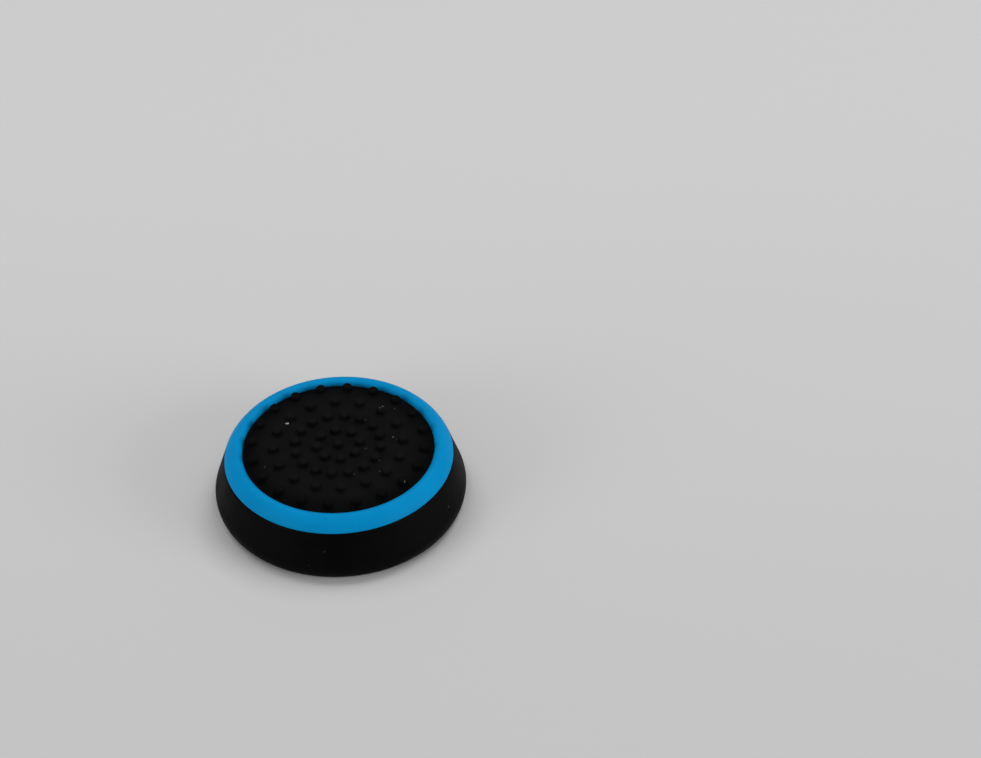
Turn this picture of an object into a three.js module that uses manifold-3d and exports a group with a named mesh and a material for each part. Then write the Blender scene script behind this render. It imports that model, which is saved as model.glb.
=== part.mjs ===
// Controller thumb grip: a black silicone cap that is pushed over the head of a controller's stick, with a
// studded top and a blue silicone band moulded on as its rim. Millimetres, +Z up. The origin is the centre
// of the resting rim, on the surface that the cap lies on. The cap is round, so X and Y are free; -Y is
// taken as the near side.

import * as THREE from 'three';
import { mergeVertices } from 'three/addons/utils/BufferGeometryUtils.js';
import Module from 'manifold-3d';

// Hollow that takes the stick's head, and the lip that grips under it
const hollow_diameter = 18.4;
const hollow_wall_height = 0.93; // of its upright wall, between the lip and the rounded corner
const hollow_corner_round = 1.2;
const lip_reach = 1.0; // how far the lip comes in from the hollow's wall
const lip_height = 1.3; // of the lip's inner edge
const lip_edge_round = 0.4;
const lip_slope = 40; // degrees from level, of the lip's upper side

// Skirt
const wall = 2.13; // thickness of the wall at the skirt's widest line
const skirt_lean = 18.05; // degrees from upright
const lower_edge_round = 1.85; // radius of the round between the skirt and the resting rim
const rim_break = 40.6; // degrees from level, of the round where it meets the rim

// Band that forms the rim of the top, and the ledge that carries it
const ledge_thickness = 0.57; // of the cap between the hollow's ceiling and the ledge
const band_foot = 0.8; // height of the band's hidden inner side, up to the floor's edge
const band_inner_flank = 0.08; // height of the inner side that shows
const band_inner_lean = 15; // degrees from upright
const band_shoulder = 0.66; // from the crest's round out to the ledge's outer edge
const crest_round = 0.51; // radius of the crest's section

// Studded floor of the top
const floor_rise = 0.33; // of the flat middle above the floor's edge
const floor_shoulder = 1.4; // width of the smooth fall between the flat middle and the edge
const stud_diameter = 0.9;
const stud_height = 0.6;
const stud_edge_round = 0.22; // between a stud's flat tip and its side
const stud_root = 0.35; // how far a stud's own solid reaches down into the floor
const stud_edge_gap = 0.87; // from the floor's edge in to the outermost circle of studs
const stud_circles = [
  { studs: 8, turn: 7.5 },
  { studs: 16, turn: 14.25 },
  { studs: 16, turn: 3 },
  { studs: 20, turn: 12 },
]; // from the middle outwards, evenly spaced; turn is the first stud's angle from +X, in degrees

const turned_steps = 64; // sides of every turned shape
const stud_steps = 10; // sides of a stud

const radians = THREE.MathUtils.degToRad;
const degrees = THREE.MathUtils.radToDeg;

// Hollow, from the rim up
const hollow_r = hollow_diameter / 2;
const mouth_r = hollow_r - lip_reach;
const lip_top = lip_height + lip_reach * Math.tan(radians(lip_slope));
const hollow_corner_z = lip_top + hollow_wall_height;
const ceiling_z = hollow_corner_z + hollow_corner_round;

// The skirt is a straight line that touches the lower edge's round, and so does the rim at its break.
const lower_edge_r = hollow_r + wall - lower_edge_round;
const lower_edge_z = lower_edge_round * Math.cos(radians(rim_break));
const ledge_z = ceiling_z + ledge_thickness;
const skirt_normal = new THREE.Vector2(Math.cos(radians(skirt_lean)), Math.sin(radians(skirt_lean)));
const skirt_foot_z = lower_edge_z + lower_edge_round * skirt_normal.y;
const ledge_r =
  lower_edge_r + lower_edge_round * skirt_normal.x - (ledge_z - skirt_foot_z) * Math.tan(radians(skirt_lean));

// Crest of the band, and the one arc that touches both the crest's round and the skirt at the ledge
const crest_r = ledge_r - band_shoulder - crest_round;
const floor_edge_z = ledge_z + band_foot;
const inner_flank_z = floor_edge_z + band_inner_flank;
const crest_z = inner_flank_z - crest_round * Math.sin(radians(band_inner_lean));
const to_ledge = new THREE.Vector2(ledge_r - crest_r, ledge_z - crest_z);
const flank_round =
  (to_ledge.lengthSq() - crest_round ** 2) / (2 * (to_ledge.dot(skirt_normal) - crest_round));
const flank_r = ledge_r - flank_round * skirt_normal.x;
const flank_z = ledge_z - flank_round * skirt_normal.y;
const flank_end = degrees(Math.atan2(crest_z - flank_z, crest_r - flank_r));

// Floor of the top
const floor_edge_r =
  crest_r -
  crest_round * Math.cos(radians(band_inner_lean)) -
  band_inner_flank * Math.tan(radians(band_inner_lean));
const floor_flat_r = floor_edge_r - floor_shoulder;
const floor_z = floor_edge_z + floor_rise;

function floor_level(r) {
  return floor_z - floor_rise * THREE.MathUtils.smoothstep(r, floor_flat_r, floor_edge_r);
}

// Points along a circular arc from one angle to another, in degrees, counted from outwards towards up.
function arc(centre_r, centre_z, radius, from, to, steps) {
  const points = [];
  for (let i = 0; i <= steps; i += 1) {
    const angle = radians(from + ((to - from) * i) / steps);
    points.push(new THREE.Vector2(centre_r + radius * Math.cos(angle), centre_z + radius * Math.sin(angle)));
  }
  return points;
}

// The cap's outline: out along the ceiling, down the hollow, round the lip and the rim, up the skirt, over
// the ledge and the floor, and back to the axis.
function cap_profile() {
  const floor = [];
  const floor_steps = 5;
  for (let i = 0; i <= floor_steps; i += 1) {
    const r = THREE.MathUtils.lerp(floor_edge_r, floor_flat_r, i / floor_steps);
    floor.push(new THREE.Vector2(r, floor_level(r)));
  }
  return [
    new THREE.Vector2(0, ceiling_z),
    ...arc(hollow_r - hollow_corner_round, hollow_corner_z, hollow_corner_round, 90, 0, 4),
    new THREE.Vector2(hollow_r, lip_top),
    new THREE.Vector2(mouth_r, lip_height),
    ...arc(mouth_r + lip_edge_round, lip_edge_round, lip_edge_round, 180, 270, 3),
    ...arc(lower_edge_r, lower_edge_z, lower_edge_round, rim_break - 90, skirt_lean, 6),
    new THREE.Vector2(ledge_r, ledge_z),
    new THREE.Vector2(floor_edge_r, ledge_z),
    ...floor,
    new THREE.Vector2(0, floor_z),
  ];
}

// The band's outline: out along the ledge, up the outer flank, over the crest and down beside the floor.
function band_profile() {
  return [
    new THREE.Vector2(floor_edge_r, ledge_z),
    new THREE.Vector2(ledge_r, ledge_z),
    ...arc(flank_r, flank_z, flank_round, skirt_lean, flank_end, 4).slice(1),
    ...arc(crest_r, crest_z, crest_round, flank_end, 180 - band_inner_lean, 6).slice(1),
    new THREE.Vector2(floor_edge_r, floor_edge_z),
    new THREE.Vector2(floor_edge_r, ledge_z),
  ];
}

// A stud's outline: a short round post with a well-rounded top, its own solid reaching down into the floor.
function stud_profile() {
  const radius = stud_diameter / 2;
  return [
    new THREE.Vector2(0, -stud_root),
    new THREE.Vector2(radius, -stud_root),
    ...arc(radius - stud_edge_round, stud_height - stud_edge_round, stud_edge_round, 0, 90, 3),
    new THREE.Vector2(0, stud_height),
  ];
}

// LatheGeometry turns its outline about Y, so every turned shape is stood up along Z.
function turned(points, steps) {
  return new THREE.LatheGeometry(points, steps).rotateX(Math.PI / 2);
}

const wasm = await Module();
wasm.setup();

function to_solid(geometry) {
  const bare = geometry.clone();
  bare.deleteAttribute('normal');
  bare.deleteAttribute('uv');
  const merged = mergeVertices(bare, 1e-5);
  return new wasm.Manifold(
    new wasm.Mesh({
      numProp: 3,
      vertProperties: new Float32Array(merged.attributes.position.array),
      triVerts: new Uint32Array(merged.index.array),
    }),
  );
}

function to_geometry(solid) {
  const mesh = solid.getMesh();
  const geometry = new THREE.BufferGeometry();
  geometry.setAttribute('position', new THREE.BufferAttribute(new Float32Array(mesh.vertProperties), 3));
  geometry.setIndex(new THREE.BufferAttribute(new Uint32Array(mesh.triVerts), 1));
  geometry.computeVertexNormals();
  return geometry;
}

// One stud stands in the middle of the floor and the others in circles round it.
function stud_places() {
  const outermost_r = floor_edge_r - stud_edge_gap;
  const places = [new THREE.Vector3(0, 0, floor_z)];
  stud_circles.forEach(({ studs, turn }, index) => {
    const r = (outermost_r * (index + 1)) / stud_circles.length;
    for (let i = 0; i < studs; i += 1) {
      const angle = radians(turn + (360 * i) / studs);
      places.push(new THREE.Vector3(r * Math.cos(angle), r * Math.sin(angle), floor_level(r)));
    }
  });
  return places;
}

function cap_body_geometry() {
  const stud = turned(stud_profile(), stud_steps);
  let solid = to_solid(turned(cap_profile(), turned_steps));
  for (const place of stud_places()) {
    solid = solid.add(to_solid(stud.clone().translate(place.x, place.y, place.z)));
  }
  return to_geometry(solid);
}

const black_silicone = new THREE.MeshStandardMaterial({ color: 0x0b0b0c, roughness: 0.62, metalness: 0 });
const blue_silicone = new THREE.MeshStandardMaterial({ color: 0x0784c4, roughness: 0.5, metalness: 0 });

const cap_body = new THREE.Mesh(cap_body_geometry(), black_silicone);
cap_body.name = 'cap_body';

const colour_band = new THREE.Mesh(turned(band_profile(), turned_steps), blue_silicone);
colour_band.name = 'colour_band';

const thumb_grip = new THREE.Group();
thumb_grip.add(cap_body, colour_band);

export default thumb_grip;
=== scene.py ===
"""Controller thumb grip: a push-on cap of black silicone with a studded top and a blue rim.

It lies on a pale table. The shapes are worked out in millimetres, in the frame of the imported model, and
are put into the meshes in metres.
"""

import bpy
import numpy as np
from mathutils import Matrix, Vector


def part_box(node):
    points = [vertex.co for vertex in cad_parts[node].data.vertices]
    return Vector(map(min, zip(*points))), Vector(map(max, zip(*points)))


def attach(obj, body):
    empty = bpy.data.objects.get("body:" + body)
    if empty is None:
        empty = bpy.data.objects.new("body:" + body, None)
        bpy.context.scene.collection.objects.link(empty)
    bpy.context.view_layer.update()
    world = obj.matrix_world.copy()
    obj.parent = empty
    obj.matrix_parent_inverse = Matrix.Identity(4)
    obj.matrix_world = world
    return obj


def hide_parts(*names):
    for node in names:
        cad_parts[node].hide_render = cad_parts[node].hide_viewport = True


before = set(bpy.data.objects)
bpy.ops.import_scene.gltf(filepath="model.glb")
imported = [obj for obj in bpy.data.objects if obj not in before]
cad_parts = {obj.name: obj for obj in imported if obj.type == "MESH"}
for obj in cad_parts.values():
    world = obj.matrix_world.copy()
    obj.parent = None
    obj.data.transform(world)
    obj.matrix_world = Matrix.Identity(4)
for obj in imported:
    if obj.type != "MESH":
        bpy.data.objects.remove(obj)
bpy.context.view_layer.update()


# The cap is one moulding of soft black silicone: a floor with 61 small round studs, a leaning skirt, a
# rounded lower edge, a flat resting rim, and a hollow with a lip that stretches over the stick's head.
# Its moulded-in ledge carries the blue band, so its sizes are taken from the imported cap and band.
METRES = 0.001  # in a millimetre
band_low, band_high = (np.array(corner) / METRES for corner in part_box("colour_band"))
widest_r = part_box("cap_body")[1][0] / METRES
ledge_r = band_high[0]
ledge_z = band_low[2]
crest_top = band_high[2]

skirt_lean = 18.05  # degrees from upright
lower_edge_round = 1.85
rim_break = 40.6  # degrees from level, where the lower edge's round meets the rim
rim_soft = 0.12  # radius that takes the edge off that break
rim_soft_turn = 4  # degrees of the lower edge's round that this takes up
lip_edge_round = 0.4
mouth_r = 8.2
hollow_r = 9.2
hollow_corner_round = 1.2
lip_height = 1.3
lip_slope = 40.0  # degrees from level
lip_soft = 0.18  # radius that takes the edge off the lip's upper corner
ceiling_z = 4.269
seam_round = 0.05  # of every edge where black meets blue

crest_round = 0.51
band_shoulder = 0.66
band_inner_lean = 15.0
band_inner_flank = 0.08
floor_rise = 0.33
floor_shoulder = 1.4
stud_radius = 0.45
stud_height = 0.6
stud_edge_round = 0.22
stud_fillet = 0.12  # radius between a stud's side and the floor
stud_edge_gap = 0.87
# From the middle outwards: the studs of each circle, and the angle of its first one in degrees
stud_circles = ((8, 7.5), (16, 14.25), (16, 3.0), (20, 12.0))

crest_r = ledge_r - band_shoulder - crest_round
crest_z = crest_top - crest_round
inner_flank_z = crest_z + crest_round * np.sin(np.radians(band_inner_lean))
floor_edge_z = inner_flank_z - band_inner_flank
floor_edge_r = (
    crest_r
    - crest_round * np.cos(np.radians(band_inner_lean))
    - band_inner_flank * np.tan(np.radians(band_inner_lean))
)
floor_z = floor_edge_z + floor_rise
stud_pitch = (floor_edge_r - stud_edge_gap) / len(stud_circles)


def floor_level(r):
    """Height of the floor: flat in the middle, then the smooth step 3t^2 - 2t^3 down to its edge."""
    t = np.clip((r - floor_edge_r + floor_shoulder) / floor_shoulder, 0, 1)
    return floor_z - floor_rise * t * t * (3 - 2 * t)


def arc(centre_r, centre_z, radius, start, end, count):
    """Points (r, z) on a circle: the centre plus the radius times (cosine, sine) of even angles."""
    angle = np.radians(np.linspace(start, end, count))
    return np.column_stack([centre_r + radius * np.cos(angle), centre_z + radius * np.sin(angle)])


def line(start, end, count):
    """Points (r, z) evenly spaced on a straight line, both ends included."""
    return np.linspace(start, end, count)


def carried_round(profile, columns, first_angle):
    """Rows of a turned surface: each (r, z) becomes the points (r cos a, r sin a, z) at even angles a."""
    a = np.radians(first_angle) + 2 * np.pi * np.arange(columns) / columns
    r, z = profile[:, :1], profile[:, 1:]
    return np.stack([r * np.cos(a), r * np.sin(a), z + 0 * a], axis=-1)


def stud_loops(count):
    """Loops of points round a stud, from its tip outwards: the radius and rise of each, and its spread.

    The small tip is flat, its edge is a quarter circle, and a hollow fillet at the foot lands flat on the
    floor. The rest lies on the floor and spreads from 0, a circle, to 1, the cell's own outline.
    """
    edge_share, fillet_share = 0.4, 0.2  # of all loops, for the edge and for the fillet
    web_step = 0.08  # from one loop to the next on the floor
    edge, fillet = round(edge_share * count), max(2, round(fillet_share * count))
    up = np.radians(np.linspace(0, 90, edge + 1))
    down = np.radians(np.linspace(0, 90, fillet + 1))
    web = np.arange(1, count - edge - fillet - 1)
    radius = np.concatenate([
        [0],
        stud_radius - stud_edge_round * (1 - np.sin(up)),
        stud_radius + stud_fillet * (1 - np.cos(down)),
        stud_radius + stud_fillet + web_step * web,
    ])
    rise = np.concatenate([
        [stud_height],
        stud_height - stud_edge_round * (1 - np.cos(up)),
        stud_fillet * (1 - np.sin(down)),
        np.zeros(len(web)),
    ])
    spread = np.concatenate([np.zeros(edge + fillet + 3), web / len(web)])
    return radius, rise, spread


def stud_ring(studs, turn, radius, inner, outer, columns):
    """Rows of the ring of floor that holds one circle of studs.

    Each stud has a square cell of the grid, with a and b from -1 to 1 across and outwards. The loops of
    equal max(|a|, |b|) are circles round the stud near it and spread into the cell's outline, a sector of
    the ring, further out, so the grid's lines follow every stud and neighbouring cells share their edges.
    The upper half of a stud keeps the level of the floor under its middle, and its foot follows the floor.
    """
    side = columns // studs
    half = side // 2
    loop_radius, loop_rise, loop_spread = stud_loops(half)
    column = np.arange(columns)
    a, b = np.meshgrid((column % side) / half - 1, np.arange(side + 1) / half - 1)
    middle = np.radians(turn + 360 / studs * (column // side))
    loop = np.rint(np.maximum(np.abs(a), np.abs(b)) * half).astype(int)
    sideways = np.abs(a) >= np.abs(b)
    larger, smaller = np.where(sideways, a, b), np.where(sideways, b, a)
    lean = np.pi / 4 * smaller / np.where(larger == 0, 1, larger)
    along, across = np.sign(larger) * np.cos(lean), np.sign(larger) * np.sin(lean)
    rho = loop_radius[loop]
    east = rho * np.where(sideways, along, across)
    out = radius + rho * np.where(sideways, across, along)
    round_x = out * np.cos(middle) - east * np.sin(middle)
    round_y = out * np.sin(middle) + east * np.cos(middle)
    sector_r = radius + np.where(b > 0, b * (outer - radius), b * (radius - inner))
    sector_a = middle + a * np.pi / studs
    w = loop_spread[loop]
    x = (1 - w) * round_x + w * sector_r * np.cos(sector_a)
    y = (1 - w) * round_y + w * sector_r * np.sin(sector_a)
    rise = loop_rise[loop]
    half_height = stud_height / 2
    upright = np.clip(rise / half_height, 0, 1)
    base = upright * floor_level(radius) + (1 - upright) * floor_level(np.hypot(x, y))
    return np.stack([x, y, base + rise], axis=-1)


def joined(blocks):
    """One list of rows from several blocks, each turned by whole columns until it meets the last one.

    A block of twice or half as many columns may follow: its first column still lies at the same angle.
    """
    rows = []
    for block in blocks:
        if rows:
            seam = np.arctan2(rows[-1][0, 1], rows[-1][0, 0])
            off = (seam - np.arctan2(block[0, 0, 1], block[0, 0, 0])) / (2 * np.pi) * block.shape[1]
            block = np.roll(block, -round(off), axis=1)
        rows.extend(block)
    return rows


def skin(rows, closed=False):
    """Faces between rows: quads, or five-sided faces where a row has half as many points as the next.

    An open skin ends in a point at both ends, on the axis at the height of its first and last rows.
    """
    counts = [len(row) for row in rows]
    starts = np.cumsum([0] + counts)
    points = list(rows)
    faces = []

    def index(row, step, shift):
        n = counts[row]
        return starts[row] + (step * np.arange(n // step) + shift) % n

    for upper in range(len(rows) if closed else len(rows) - 1):
        lower = (upper + 1) % len(rows)
        up_step = max(1, counts[upper] // counts[lower])
        low_step = max(1, counts[lower] // counts[upper])
        loop = [index(upper, up_step, 0), index(lower, low_step, 0)]
        if low_step == 2:
            loop.append(index(lower, low_step, 1))
        loop += [index(lower, low_step, low_step), index(upper, up_step, up_step)]
        if up_step == 2:
            loop.append(index(upper, up_step, 1))
        faces += np.column_stack(loop).tolist()
    if not closed:
        total = starts[-1]
        for end, (row, pole) in enumerate(((0, total), (len(rows) - 1, total + 1))):
            points.append(np.array([[0, 0, rows[row][0, 2]]]))
            here, there = index(row, 1, 0), index(row, 1, 1)
            tip = np.full(counts[row], pole)
            faces += np.column_stack([tip, here, there] if end == 0 else [here, tip, there]).tolist()
    return np.concatenate(points), faces


def in_scene(name, data):
    """An object of that name in the scene, at the origin, unturned and unscaled."""
    thing = bpy.data.objects.new(name, data)
    bpy.context.scene.collection.objects.link(thing)
    return thing


def moulded(name, rows, closed=False):
    """A smooth-shaded mesh object from rows of points in millimetres."""
    points, faces = skin(rows, closed)
    mesh = bpy.data.meshes.new(name)
    mesh.from_pydata((points * METRES).tolist(), [], faces)
    mesh.shade_smooth()
    return in_scene(name, mesh)


coarse, fine = 240, 480  # columns round the axis
lower_edge_r = widest_r - lower_edge_round
lower_edge_z = lower_edge_round * np.cos(np.radians(rim_break))


def studded_floor():
    """Rows of the floor: the middle stud, then the ring of floor of each circle of studs."""
    plain_strip = 0.1  # between the outermost ring and the round of the floor's edge
    middle_radius, middle_rise, middle_spread = stud_loops(coarse // stud_circles[0][0] // 2)
    on_stud = (middle_spread == 0) & (middle_radius > 0)
    tip = np.column_stack([middle_radius, floor_z + middle_rise])[on_stud]
    blocks = []
    for index, (studs, turn) in enumerate(stud_circles):
        radius = stud_pitch * (index + 1)
        inner, outer = radius - stud_pitch / 2, radius + stud_pitch / 2
        if index == len(stud_circles) - 1:
            outer = floor_edge_r - seam_round - plain_strip
        rows = stud_ring(studs, turn, radius, inner, outer, coarse if index == 0 else fine)
        blocks.append(rows if index == 0 else rows[1:])
    first_angle = np.degrees(np.arctan2(blocks[0][0, 0, 1], blocks[0][0, 0, 0]))
    return joined([carried_round(tip, coarse, first_angle)] + blocks)


def cap_section():
    """Profile (r, z) of the cap: from the floor's edge to the ledge, down the outside, into the hollow."""
    narrow, wide, widest = 0.2, 0.3, 0.5  # from a corner or a round to the next points beside it
    corner_in, corner_down = 0.3, 0.1  # middle point of a soft corner, in parts of its radius
    lean = np.radians(skirt_lean)
    skirt_foot = np.array([
        lower_edge_r + lower_edge_round * np.cos(lean),
        lower_edge_z + lower_edge_round * np.sin(lean),
    ])
    skirt_top = np.array([ledge_r + seam_round * np.sin(lean), ledge_z - seam_round * np.cos(lean)])
    break_r = lower_edge_r + lower_edge_round * np.sin(np.radians(rim_break))
    seam_in = ledge_r - seam_round * (1 - np.sin(lean))
    lip_top = lip_height + (hollow_r - mouth_r) * np.tan(np.radians(lip_slope))
    lip_corner = (mouth_r + corner_in * lip_soft, lip_height - corner_down * lip_soft)
    corner_r = hollow_r - hollow_corner_round
    corner_z = ceiling_z - hollow_corner_round
    lower_edge_end = rim_break - 90 + rim_soft_turn
    return np.vstack([
        arc(floor_edge_r - seam_round, floor_edge_z - seam_round, seam_round, 90, 0, 4),
        line((floor_edge_r, ledge_z + narrow), (floor_edge_r, ledge_z), 2),
        line((floor_edge_r + wide, ledge_z), (ledge_r - seam_round, ledge_z), 4),
        line((seam_in, ledge_z - corner_in * seam_round), skirt_top, 3),
        line(skirt_top, skirt_foot, 14)[1:],
        arc(lower_edge_r, lower_edge_z, lower_edge_round, skirt_lean, lower_edge_end, 18)[1:],
        line((break_r - rim_soft, 0), (mouth_r + lip_edge_round, 0), 6),
        arc(mouth_r + lip_edge_round, lip_edge_round, lip_edge_round, 270, 180, 8)[1:],
        line((mouth_r, lip_edge_round + wide), (mouth_r, lip_height - lip_soft), 3),
        line(lip_corner, (hollow_r, lip_top), 8),
        line((hollow_r, lip_top + narrow), (hollow_r, corner_z), 4),
        arc(corner_r, corner_z, hollow_corner_round, 0, 90, 10)[1:],
        line((corner_r - widest, ceiling_z), (widest, ceiling_z), 8),
    ])


class Value:
    """A shader socket for Python's arithmetic: each operator adds its Math node."""

    def __init__(self, tree, socket):
        self.tree, self.socket = tree, socket

    def maths(self, operation, other, swapped=False):
        terms = [other, self] if swapped else [self, other]
        return add_node(self.tree, "ShaderNodeMath", {"operation": operation}, dict(enumerate(terms)))

    def __add__(self, other):
        return self.maths("ADD", other)

    def __sub__(self, other):
        return self.maths("SUBTRACT", other)

    def __mul__(self, other):
        return self.maths("MULTIPLY", other)

    def __gt__(self, other):
        return self.maths("GREATER_THAN", other)

    def __lt__(self, other):
        return self.maths("LESS_THAN", other)

    def __rsub__(self, other):
        return self.maths("SUBTRACT", other, swapped=True)

    __radd__ = __add__
    __rmul__ = __mul__


def add_node(tree, kind, settings, sockets, output=0):
    """Adds a node: its settings first, then the value or link of each named or numbered socket."""
    node = tree.nodes.new(kind)
    for setting, value in settings.items():
        setattr(node, setting, value)
    for socket, value in sockets.items():
        if isinstance(value, Value):
            tree.links.new(value.socket, node.inputs[socket])
        else:
            node.inputs[socket].default_value = value
    return Value(tree, node.outputs[output])


def vector(tree, operation, sockets, output=0):
    """Vector Math node; its length comes out at output 1."""
    return add_node(tree, "ShaderNodeVectorMath", {"operation": operation}, sockets, output)


def new_material(name):
    """A material with an empty node tree, its tree, and the point on the surface in millimetres."""
    material = bpy.data.materials.new(name)
    material.use_nodes = True
    tree = material.node_tree
    tree.nodes.clear()
    point = add_node(tree, "ShaderNodeTexCoord", {}, {}, output=3)
    return material, tree, vector(tree, "SCALE", {0: point, "Scale": 1 / METRES})


def finished(material, surface):
    """The material with its surface shader joined to its output."""
    out = material.node_tree.nodes.new("ShaderNodeOutputMaterial")
    material.node_tree.links.new(surface.socket, out.inputs["Surface"])
    return material


def noise(tree, place, scale, detail, roughness=0.5):
    """Fractal noise from 0 to 1, scale in turns per millimetre."""
    sockets = {"Vector": place, "Scale": scale, "Detail": detail, "Roughness": roughness}
    return add_node(tree, "ShaderNodeTexNoise", {"noise_dimensions": "3D"}, sockets)


def ramp(tree, value, low, high):
    """Smooth step of a value from 0 at low to 1 at high."""
    sockets = {"Value": value, "From Min": low, "From Max": high, "To Min": 0.0, "To Max": 1.0}
    return add_node(tree, "ShaderNodeMapRange", {"interpolation_type": "SMOOTHSTEP"}, sockets)


def blend(tree, factor, first, second):
    """Colour that goes from the first to the second with the factor."""
    sockets = {0: factor, 6: first, 7: second}
    return add_node(tree, "ShaderNodeMix", {"data_type": "RGBA"}, sockets, output=2)


def bump(tree, strength, depth, height, below=None):
    """Relief of that depth in millimetres, over the relief below it."""
    sockets = {"Strength": strength, "Distance": depth * METRES, "Height": height}
    if below is not None:
        sockets["Normal"] = below
    return add_node(tree, "ShaderNodeBump", {}, sockets)


def silicone(tree, colour, roughness, specular, normal):
    """Surface of moulded silicone."""
    sockets = {
        "Base Color": colour,
        "Roughness": roughness,
        "IOR": 1.41,
        "Specular IOR Level": specular,
        "Normal": normal,
    }
    return add_node(tree, "ShaderNodeBsdfPrincipled", {}, sockets)


def dust_grains(tree, place):
    """Mask of fine dust: of the cells of a Voronoi pattern, a few hold one grain each, of its own size."""
    cells, empty_share, largest = 2.2, 0.9, 0.08  # cells in a millimetre, and a grain's radius in cells
    sockets = {"Vector": place, "Scale": cells, "Randomness": 1.0}
    distance = add_node(tree, "ShaderNodeTexVoronoi", {"feature": "F1"}, sockets, output=0)
    colour = add_node(tree, "ShaderNodeTexVoronoi", {"feature": "F1"}, sockets, output=1)
    chance = add_node(tree, "ShaderNodeSeparateColor", {}, {0: colour}, output=0)
    grain = add_node(tree, "ShaderNodeSeparateColor", {}, {0: colour}, output=1)
    return (chance > empty_share) * (distance < grain * largest)


# Each speck of lint or painted highlight on a stud's top: x, y, z, half its length and width, its turn in
# degrees and its brightness
lint_and_highlight_specks = (
    (-4.62, 3.33, 5.98, 0.17, 0.10, 8, 0.55),
    # These two are painted highlights on the top of a stud, not lint
    (4.03, 4.48, 6.55, 0.08, 0.06, 0, 0.12),
    (3.78, 4.29, 6.55, 0.06, 0.05, 0, 0.12),
    (5.10, 4.81, 5.98, 0.06, 0.08, 0, 0.05),
    (2.40, 3.25, 6.03, 0.05, 0.10, 0, 0.3),
    (4.91, 0.95, 5.98, 0.09, 0.07, 0, 0.18),
    (5.21, 0.56, 5.98, 0.06, 0.06, 0, 0.05),
    (2.47, -0.42, 5.98, 0.12, 0.12, 0, 0.03),
    (5.92, -5.48, 6.36, 0.05, 0.13, 5, 0.1),
    (3.63, -2.14, 6.1, 0.07, 0.15, 0, 0.25),
    (3.72, -3.54, 5.98, 0.09, 0.12, 0, 0.03),
    (1.44, -3.82, 5.98, 0.12, 0.10, 0, 0.03),
    (-6.55, -2.41, 5.95, 0.10, 0.07, 0, 0.04),
    (-1.30, -10.75, 3.05, 0.06, 0.05, 0, 0.05),
    (9.75, -5.1, 2.95, 0.06, 0.05, 0, 0.12),
)


def lint_and_stud_highlights(tree, place):
    """Mask of the specks of lint and of the painted highlights on a stud's top: each one's brightness
    inside an ellipsoid, on a point bent by fine noise.
    """
    ragged_scale, ragged_depth, half_height = 7.0, 0.15, 0.25
    sockets = {"Vector": place, "Scale": ragged_scale, "Detail": 1.0}
    bend = add_node(tree, "ShaderNodeTexNoise", {}, sockets, output=1)
    centred = vector(tree, "SUBTRACT", {0: bend, 1: (0.5, 0.5, 0.5)})
    shift = vector(tree, "SCALE", {0: centred, "Scale": ragged_depth})
    bent = vector(tree, "ADD", {0: place, 1: shift})
    mask = 0.0
    for x, y, z, length, width, turn, brightness in lint_and_highlight_specks:
        sockets = {
            "Vector": bent,
            "Location": (x, y, z),
            "Rotation": (0, 0, np.radians(turn)),
            "Scale": (length, width, half_height),
        }
        inside = add_node(tree, "ShaderNodeMapping", {"vector_type": "TEXTURE"}, sockets)
        away = vector(tree, "LENGTH", {0: inside}, output=1)
        mask = (away < 1.0) * brightness + mask
    return mask


grain_scale = 11.0  # of the moulded grain of both silicones, in turns per millimetre


def grey(level):
    """Opaque colour of the same level in all channels."""
    return (level, level, level, 1)


def black_silicone():
    """Matte black silicone: a moulded grain, a thin uneven bloom, a lighter tone on the top than on the
    skirt, and painted shade that darkens the top towards the band.
    """
    # Height where the top begins, then the radii in millimetres where the painted shade beside the band
    # starts and where it is full
    skirt_top, band_shade_start_r, band_shade_full_r = 5.2, 5.8, 8.8
    dust_cover = 0.5  # share of the dust's own tone in a grain
    material, tree, place = new_material("black_silicone")
    grain = noise(tree, place, scale=grain_scale, detail=3.0)
    swell = noise(tree, place, scale=1.3, detail=2.0)
    cloud = noise(tree, place, scale=0.5, detail=4.0, roughness=0.6)
    bloom = ramp(tree, cloud, low=0.35, high=0.7)
    height = add_node(tree, "ShaderNodeSeparateXYZ", {}, {0: place}, output=2)
    level_place = vector(tree, "MULTIPLY", {0: place, 1: (1, 1, 0)})
    reach = vector(tree, "LENGTH", {0: level_place}, output=1)
    on_top = height > skirt_top
    # Painted shade beside the band: outwards from the first radius the top's lighter tone falls to the
    # skirt's darker one
    top_clear_of_band_shade = (1 - ramp(tree, reach, band_shade_start_r, band_shade_full_r)) * on_top
    skirt_tone = blend(tree, bloom, grey(0.0007), grey(0.0013))
    top_tone = blend(tree, bloom, grey(0.0036), grey(0.0050))
    base = blend(tree, top_clear_of_band_shade, skirt_tone, top_tone)
    dusty = blend(tree, dust_grains(tree, place) * dust_cover, base, grey(0.10))
    # Pale grey specks of lint, and two painted highlights on a stud's top
    colour = blend(tree, lint_and_stud_highlights(tree, place), dusty, grey(0.62))
    roughness = bloom * 0.1 + grain * 0.08 + on_top * 0.16 + 0.44
    grained = bump(tree, strength=0.5, depth=0.006, height=grain)
    relief = bump(tree, strength=0.4, depth=0.03, height=swell, below=grained)
    return finished(material, silicone(tree, colour, roughness, 0.05, relief))


floor_rows = studded_floor()
seam_angle = np.degrees(np.arctan2(floor_rows[-1][0, 1], floor_rows[-1][0, 0]))
skirt_rows = carried_round(cap_section(), coarse, seam_angle)
cap = moulded("black_cap", floor_rows + list(skirt_rows))
cap.data.materials.append(black_silicone())
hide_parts("cap_body")
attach(cap, "root")


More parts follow.
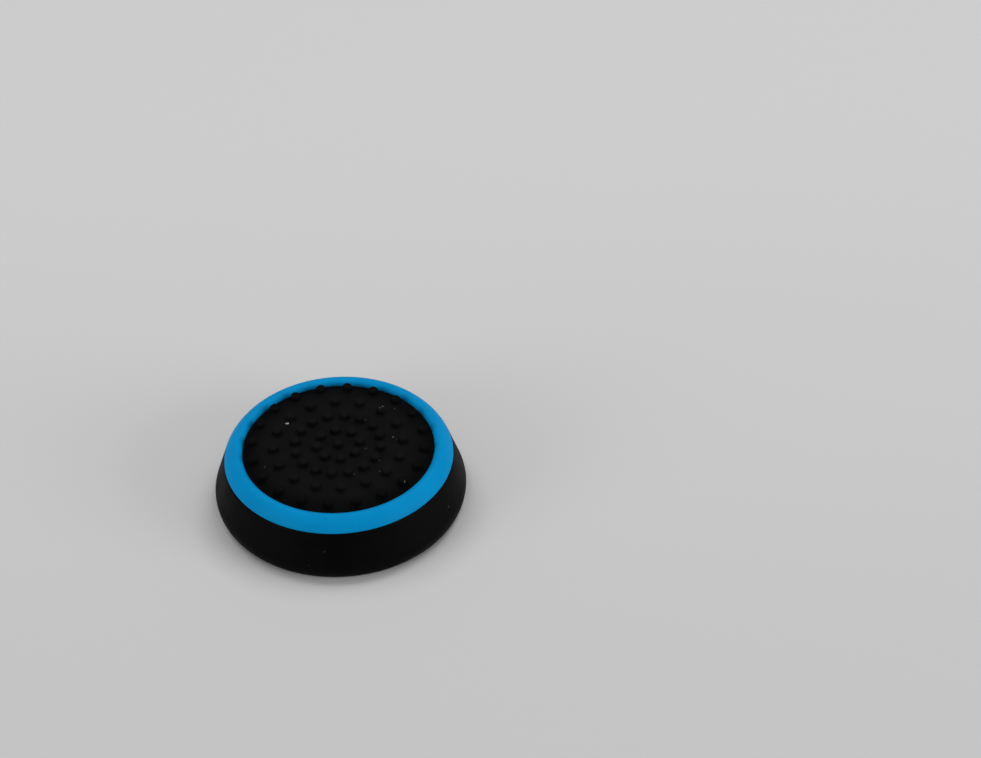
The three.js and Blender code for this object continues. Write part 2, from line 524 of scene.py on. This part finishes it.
# The band is a ring of blue silicone, moulded on as a second colour over the cap's ledge. Its round crest
# is the rim of the top, and its outer flank runs on into the skirt.
def band_section():
    """Closed profile (r, z): along the ledge, up the outer flank, over the crest and down inside."""
    lean = np.radians(skirt_lean)
    normal = np.array([np.cos(lean), np.sin(lean)])
    to_ledge = np.array([ledge_r - crest_r, ledge_z - crest_z])
    flank_round = (to_ledge @ to_ledge - crest_round**2) / (2 * (to_ledge @ normal - crest_round))
    flank_r, flank_z = np.array([ledge_r, ledge_z]) - flank_round * normal
    flank_end = np.degrees(np.arctan2(crest_z - flank_z, crest_r - flank_r))
    seam = np.degrees(seam_round / flank_round)
    turn_in, turn_up, turn_down = 0.02, 0.06, 0.05  # points round the corner beside the floor's edge
    narrow, wide = 0.1, 0.25  # from a corner to the next points beside it
    section = np.vstack([
        line((floor_edge_r, ledge_z), (ledge_r - seam_round, ledge_z), 5),
        arc(flank_r, flank_z, flank_round, skirt_lean + seam, flank_end, 14),
        arc(crest_r, crest_z, crest_round, flank_end, 180 - band_inner_lean, 20)[1:],
        line((floor_edge_r + turn_in, floor_edge_z + turn_up), (floor_edge_r, floor_edge_z - turn_down), 2),
        line((floor_edge_r, floor_edge_z - wide), (floor_edge_r, ledge_z + narrow), 2),
    ])
    return section[::-1]


def blue_silicone():
    """Smooth matte blue silicone: a faint moulded grain and slight variation of tone."""
    material, tree, place = new_material("blue_silicone")
    grain = noise(tree, place, scale=grain_scale, detail=3.0)
    cloud = noise(tree, place, scale=0.45, detail=3.0, roughness=0.55)
    tone = ramp(tree, cloud, low=0.3, high=0.75)
    colour = blend(tree, tone, (0.0006, 0.222, 0.497, 1), (0.0010, 0.240, 0.530, 1))
    relief = bump(tree, strength=0.35, depth=0.004, height=grain)
    return finished(material, silicone(tree, colour, tone * 0.08 + 0.48, 0.04, relief))


band = moulded("blue_band", list(carried_round(band_section(), coarse, seam_angle)), closed=True)
band.data.materials.append(blue_silicone())
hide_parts("colour_band")
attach(band, "root")


# The table is a plain pale sheet, wide enough to fill the view from any side. Its colour is made a little
# lighter towards the back: painted light.
far = 3.0  # metres from the table's middle to each side
corners = [(-far, -far, 0), (far, -far, 0), (far, far, 0), (-far, far, 0)]
table_mesh = bpy.data.meshes.new("table_top")
table_mesh.from_pydata(corners, [], [(0, 1, 2, 3)])
table = in_scene("table_top", table_mesh)
table_material, table_tree, table_place = new_material("pale_table")
near_y, back_y = -35.0, 60.0  # between them the table's tone goes from the darker to the lighter
depth = add_node(table_tree, "ShaderNodeSeparateXYZ", {}, {0: table_place}, output=1)
# Painted light: the table's colour gets lighter towards the back, where most of the light comes from
table_colour = blend(table_tree, ramp(table_tree, depth, near_y, back_y), grey(0.556), grey(0.612))
table_surface = add_node(
    table_tree,
    "ShaderNodeBsdfPrincipled",
    {},
    {"Base Color": table_colour, "Roughness": 0.8, "Specular IOR Level": 0.2},
)
table.data.materials.append(finished(table_material, table_surface))


# Soft light from all round, as in a light tent: most of it comes from two boxes above and behind, and low
# boxes to the left and right draw a sheen along the sides of the skirt.
world = bpy.data.worlds.new("soft_surround")
bpy.context.scene.world = world
world.use_nodes = True
world.node_tree.nodes["Background"].inputs["Color"].default_value = (1, 1, 1, 1)
world.node_tree.nodes["Background"].inputs["Strength"].default_value = 0.28


def put(thing, right, up, back, place):
    """Puts an object at a place, with its own X, Y and Z axes along right, up and back."""
    thing.matrix_world = Matrix(np.column_stack([right, up, back, place]).tolist() + [[0, 0, 0, 1]])


def soft_box(name, place, size, power):
    """A square area lamp that faces the middle of the table, in metres and watts."""
    lamp = bpy.data.lights.new(name, "AREA")
    lamp.shape = "SQUARE"
    lamp.size = size
    lamp.energy = power
    back = np.array(place) / np.linalg.norm(place)
    side = np.cross((0, 0, 1), back)
    side /= np.linalg.norm(side)
    put(in_scene(name, lamp), side, np.cross(back, side), back, place)


soft_box("box_back_right", (0.32, 0.27, 0.79), 0.4, 2.4)
soft_box("box_back_left", (-0.32, 0.27, 0.79), 0.4, 1.8)
soft_box("box_front", (0, -0.45, 0.78), 0.4, 0.8)
soft_box("box_right", (0.76, -0.36, 0.22), 0.5, 3.6)
soft_box("box_left", (-0.75, -0.45, 0.25), 0.5, 2.6)


# The camera stands where the photograph was taken from, off to one side of the cap.
aim = np.array([13.859, 15.243, 0]) * METRES  # on the table, in the middle of the picture
distance = 358.6 * METRES
pitch = np.radians(40.95)
roll = np.radians(-2.2)
picture_width = 981
focal_pixels = 3833
forward = np.array([0, np.cos(pitch), -np.sin(pitch)])
level_right = np.array([1.0, 0, 0])
level_up = np.array([0, np.sin(pitch), np.cos(pitch)])
right = np.cos(roll) * level_right + np.sin(roll) * level_up
up = np.cos(roll) * level_up - np.sin(roll) * level_right
camera = bpy.data.cameras.new("camera")
camera.sensor_width = 36
camera.lens = camera.sensor_width * focal_pixels / picture_width
camera.clip_start = 0.01
camera.clip_end = 20
eye = in_scene("camera", camera)
put(eye, right, up, -forward, aim - distance * forward)
bpy.context.scene.camera = eye

bpy.context.scene.view_settings.view_transform = "Standard"
